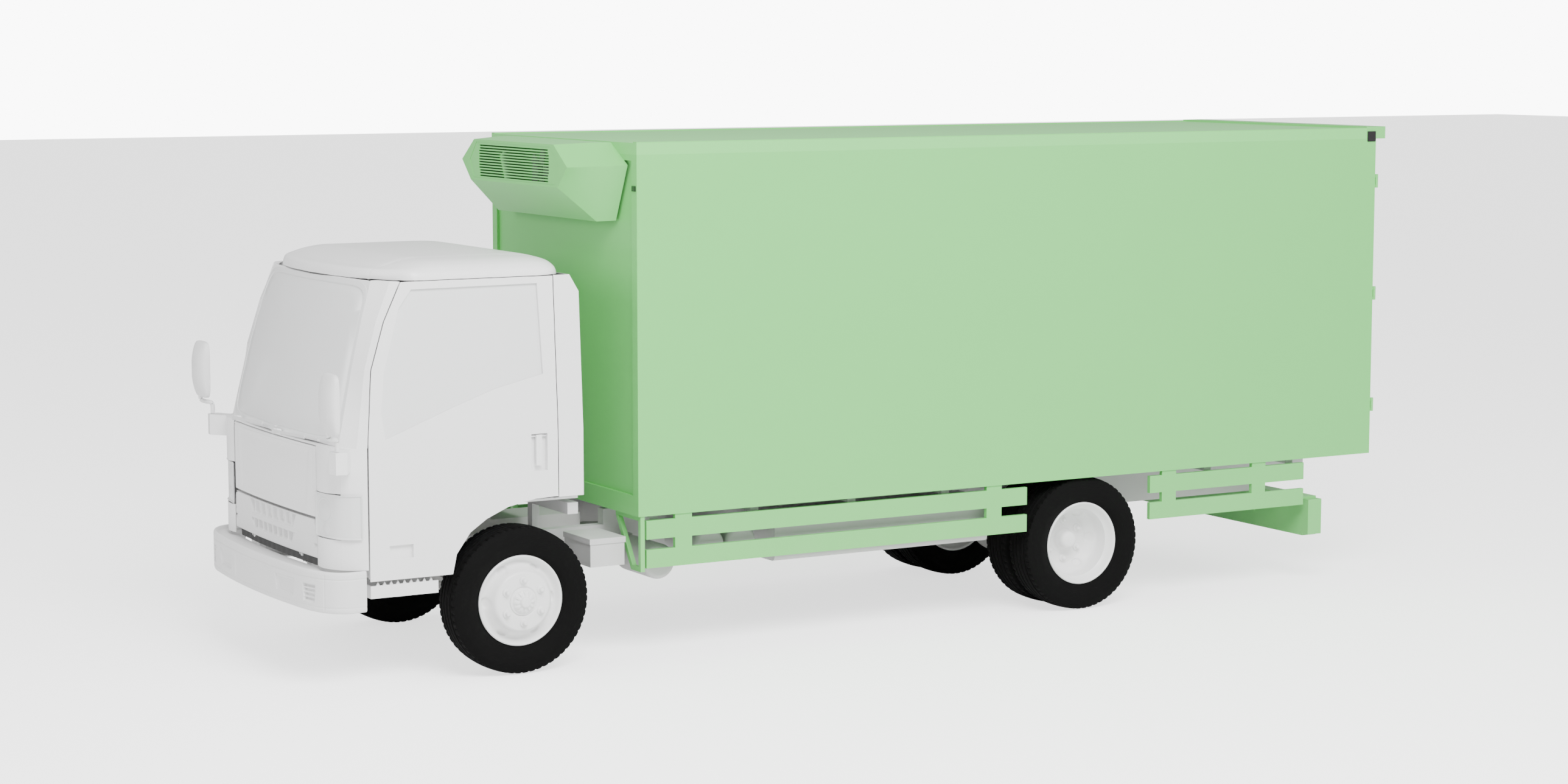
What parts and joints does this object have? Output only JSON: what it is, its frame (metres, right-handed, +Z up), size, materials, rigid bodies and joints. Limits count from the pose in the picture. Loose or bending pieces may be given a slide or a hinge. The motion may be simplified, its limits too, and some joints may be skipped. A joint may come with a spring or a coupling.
{
  "type": "box delivery truck",
  "caption": "Cab-over light delivery truck with an insulated box body, rear doors, dual rear wheels and a cooling unit over the tilting cab.",
  "frame": {"origin": "on the ground, at the middle of the truck's length and width", "axes": "+X forward, +Y to the truck's left, +Z up"},
  "size_m": [6.8328, 2.062, 2.7279],
  "materials": {
    "body_green": "satin",
    "roof_green": "satin",
    "unit_green": "satin",
    "guard_green": "satin",
    "cab_white": "satin",
    "trim_white": "matte",
    "chassis_white": "matte",
    "wheel_white": "satin",
    "cab_glass": "clear",
    "lamp_glass": "clear",
    "tyre_black": "matte",
    "marker_black": "gloss",
    "interior_grey": "grained",
    "seat_fabric": "woven",
    "wheel_grip": "grained",
    "spring_steel": "painted"
  },
  "bodies": {
    "chassis": {"chassis_frame": "chassis_white", "front_axle_beam": "spring_steel", "rear_axle_housing": "spring_steel", "leaf_springs": "spring_steel", "powertrain": "spring_steel", "air_tanks": "chassis_white", "fuel_tank": "chassis_white", "battery_box": "trim_white", "exhaust_silencer": "chassis_white", "cargo_floor": "chassis_white", "cargo_walls": "body_green", "cargo_roof": "roof_green", "body_edge_rails": "body_green", "rear_door_frame": "body_green", "condenser_case": "unit_green", "condenser_grille": "unit_green", "side_guards": "guard_green", "underrun_beam": "guard_green", "body_lamps": "marker_black", "front_bumper": "cab_white", "cab_steps": "trim_white", "cab_mounts": "chassis_white"},
    "cab": {"cab_floor": "cab_white", "cab_frame": "cab_white", "cab_roof": "cab_white", "windscreen": "cab_glass", "front_panels": "cab_white", "headlamps": "lamp_glass", "front_grille": "trim_white", "dashboard": "interior_grey", "seats": "seat_fabric"},
    "lid": {"front_lid": "cab_white"},
    "steering_wheel": {"steering_wheel": "wheel_grip"},
    "tie_rod": {"tie_rod": "spring_steel"},
    "propshaft": {"propshaft": "spring_steel"},
    "condenser_fan": {"condenser_fan": "interior_grey"},
    "door_left": {"door_left": "cab_white", "door_glass_left": "cab_glass"},
    "door_handle_left": {"door_handle_left": "trim_white"},
    "mirror_left": {"mirror_left": "trim_white"},
    "wiper_left": {"wiper_left": "trim_white"},
    "steering_knuckle_left": {"steering_knuckle_left": "spring_steel"},
    "front_wheel_left": {"front_tyre_left": "tyre_black", "front_rim_left": "wheel_white"},
    "rear_wheels_left": {"rear_tyres_left": "tyre_black", "rear_rims_left": "wheel_white"},
    "cargo_door_left": {"cargo_door_left": "body_green"},
    "lock_rod_left": {"lock_rod_left": "body_green"},
    "door_right": {"door_right": "cab_white", "door_glass_right": "cab_glass"},
    "door_handle_right": {"door_handle_right": "trim_white"},
    "mirror_right": {"mirror_right": "trim_white"},
    "wiper_right": {"wiper_right": "trim_white"},
    "steering_knuckle_right": {"steering_knuckle_right": "spring_steel"},
    "front_wheel_right": {"front_tyre_right": "tyre_black", "front_rim_right": "wheel_white"},
    "rear_wheels_right": {"rear_tyres_right": "tyre_black", "rear_rims_right": "wheel_white"},
    "cargo_door_right": {"cargo_door_right": "body_green"},
    "lock_rod_right": {"lock_rod_right": "body_green"}
  },
  "joints": [
    {"name": "cab_tilt", "type": "hinge", "parent": "chassis", "child": "cab", "pos_m": [3.2515, 0, 0.64], "axis": [0, 1, 0], "range_deg": [0, 45]},
    {"name": "lid_hinge", "type": "hinge", "parent": "cab", "child": "lid", "pos_m": [3.2945, 0, 1.222], "axis": [0, -1, 0], "range_deg": [0, 65]},
    {"name": "door_hinge_left", "type": "hinge", "parent": "cab", "child": "door_left", "pos_m": [3.1105, 0.87, 1.2], "axis": [0, 0, -1], "range_deg": [0, 70]},
    {"name": "handle_pivot_left", "type": "hinge", "parent": "door_left", "child": "door_handle_left", "pos_m": [2.1665, 0.854, 1.226], "axis": [1, 0, 0], "range_deg": [0, 30], "stiffness_Nm_per_rad": 1},
    {"name": "mirror_fold_left", "type": "hinge", "parent": "cab", "child": "mirror_left", "pos_m": [3.2865, 0.902, 1.25], "axis": [0, 0, 1], "range_deg": [0, 75]},
    {"name": "wiper_pivot_left", "type": "hinge", "parent": "cab", "child": "wiper_left", "pos_m": [3.29754, 0.13, 1.24], "axis": [0.972, 0, 0.235], "range_deg": [0, 100]},
    {"name": "kingpin_left", "type": "hinge", "parent": "chassis", "child": "steering_knuckle_left", "pos_m": [2.2865, 0.7, 0.3835], "axis": [0, 0, 1], "range_deg": [-35, 35]},
    {"name": "front_wheel_spin_left", "type": "hinge", "parent": "steering_knuckle_left", "child": "front_wheel_left", "pos_m": [2.2865, 0.795, 0.3835], "axis": [0, 1, 0], "continuous": true},
    {"name": "rear_wheel_spin_left", "type": "hinge", "parent": "chassis", "child": "rear_wheels_left", "pos_m": [-1.2535, 0.6575, 0.3835], "axis": [0, 1, 0], "continuous": true},
    {"name": "cargo_door_hinge_left", "type": "hinge", "parent": "chassis", "child": "cargo_door_left", "pos_m": [-3.3595, 0.89, 1.7], "axis": [0, 0, -1], "range_deg": [0, 225]},
    {"name": "lock_rod_turn_left", "type": "hinge", "parent": "cargo_door_left", "child": "lock_rod_left", "pos_m": [-3.3715, 0.41, 1.3], "axis": [0, 0, 1], "range_deg": [0, 120]},
    {"name": "door_hinge_right", "type": "hinge", "parent": "cab", "child": "door_right", "pos_m": [3.1105, -0.87, 1.2], "axis": [0, 0, 1], "range_deg": [0, 70]},
    {"name": "handle_pivot_right", "type": "hinge", "parent": "door_right", "child": "door_handle_right", "pos_m": [2.1665, -0.854, 1.226], "axis": [-1, 0, 0], "range_deg": [0, 30], "stiffness_Nm_per_rad": 1},
    {"name": "mirror_fold_right", "type": "hinge", "parent": "cab", "child": "mirror_right", "pos_m": [3.2865, -0.902, 1.25], "axis": [0, 0, -1], "range_deg": [0, 75]},
    {"name": "wiper_pivot_right", "type": "hinge", "parent": "cab", "child": "wiper_right", "pos_m": [3.28424, -0.5, 1.24], "axis": [0.972, 0, 0.235], "range_deg": [0, 100]},
    {"name": "kingpin_right", "type": "hinge", "parent": "chassis", "child": "steering_knuckle_right", "pos_m": [2.2865, -0.7, 0.3835], "axis": [0, 0, 1], "range_deg": [-35, 35]},
    {"name": "front_wheel_spin_right", "type": "hinge", "parent": "steering_knuckle_right", "child": "front_wheel_right", "pos_m": [2.2865, -0.795, 0.3835], "axis": [0, 1, 0], "continuous": true},
    {"name": "rear_wheel_spin_right", "type": "hinge", "parent": "chassis", "child": "rear_wheels_right", "pos_m": [-1.2535, -0.6575, 0.3835], "axis": [0, 1, 0], "continuous": true},
    {"name": "cargo_door_hinge_right", "type": "hinge", "parent": "chassis", "child": "cargo_door_right", "pos_m": [-3.3595, -0.89, 1.7], "axis": [0, 0, 1], "range_deg": [0, 225]},
    {"name": "lock_rod_turn_right", "type": "hinge", "parent": "cargo_door_right", "child": "lock_rod_right", "pos_m": [-3.3715, -0.41, 1.3], "axis": [0, 0, -1], "range_deg": [0, 120]},
    {"name": "tie_rod_pivot", "type": "hinge", "parent": "steering_knuckle_left", "child": "tie_rod", "pos_m": [2.1365, 0.7, 0.314], "axis": [0, 0, 1], "range_deg": [-35, 35]},
    {"name": "steering_wheel_turn", "type": "hinge", "parent": "cab", "child": "steering_wheel", "pos_m": [2.8465, 0.42, 1.19], "axis": [-0.42, 0, 0.9075], "range_deg": [-560, 560]},
    {"name": "propshaft_spin", "type": "hinge", "parent": "chassis", "child": "propshaft", "pos_m": [1.2365, 0, 0.52], "axis": [-0.9985, 0, -0.0547], "continuous": true},
    {"name": "fan_spin", "type": "hinge", "parent": "chassis", "child": "condenser_fan", "pos_m": [1.76, 0, 2.545], "axis": [1, 0, 0], "continuous": true}
  ],
  "couplings": [
    {"joint": "kingpin_right", "follows": "kingpin_left", "ratio": 1},
    {"joint": "tie_rod_pivot", "follows": "kingpin_left", "ratio": -1},
    {"joint": "steering_wheel_turn", "follows": "kingpin_left", "ratio": 16},
    {"joint": "wiper_pivot_right", "follows": "wiper_pivot_left", "ratio": 1}
  ]
}
